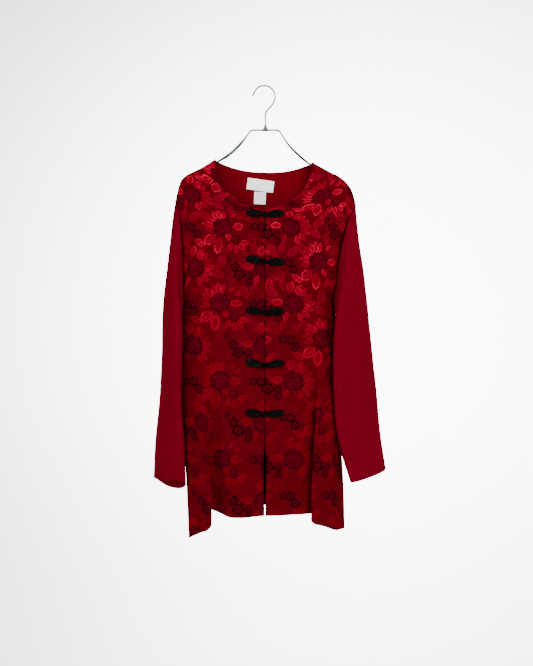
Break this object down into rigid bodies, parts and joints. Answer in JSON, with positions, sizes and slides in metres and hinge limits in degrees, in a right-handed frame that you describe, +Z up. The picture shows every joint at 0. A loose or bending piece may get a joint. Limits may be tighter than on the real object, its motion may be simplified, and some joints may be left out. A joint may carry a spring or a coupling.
{
  "type": "tang jacket on a steel hanger",
  "caption": "Collarless long-sleeved jacket of floral jacquard with plain sleeves and cord frogs down the front, hung on a steel band hanger.",
  "frame": {"origin": "inner top of the hanger's hook, where a rail carries it", "axes": "+Z up, -Y out of the jacket's front, +X towards the viewer's right (the wearer's left)"},
  "size_m": [0.5222, 0.1561, 0.9925],
  "materials": {
    "floral_jacquard": "deep red silk jacquard with satin roses, small flowers and leaves on a duller ground",
    "plain_crepe": "matte burgundy crepe",
    "satin_cord": "black satin cord, stitched side by side",
    "label_tape": "white woven tape, bare",
    "polished_steel": "polished steel"
  },
  "bodies": {
    "root": {"front_right": "floral_jacquard", "front_left": "floral_jacquard", "back": "floral_jacquard", "sleeve_right": "plain_crepe", "sleeve_left": "plain_crepe", "frog_1_knot": "satin_cord", "frog_1_loop": "satin_cord", "frog_2_knot": "satin_cord", "frog_2_loop": "satin_cord", "frog_3_knot": "satin_cord", "frog_3_loop": "satin_cord", "frog_4_knot": "satin_cord", "frog_4_loop": "satin_cord", "frog_5_knot": "satin_cord", "frog_5_loop": "satin_cord", "label_neck": "label_tape", "label_size": "label_tape", "hanger_frame": "polished_steel", "hanger_hook": "polished_steel"}
  },
  "joints": []
}
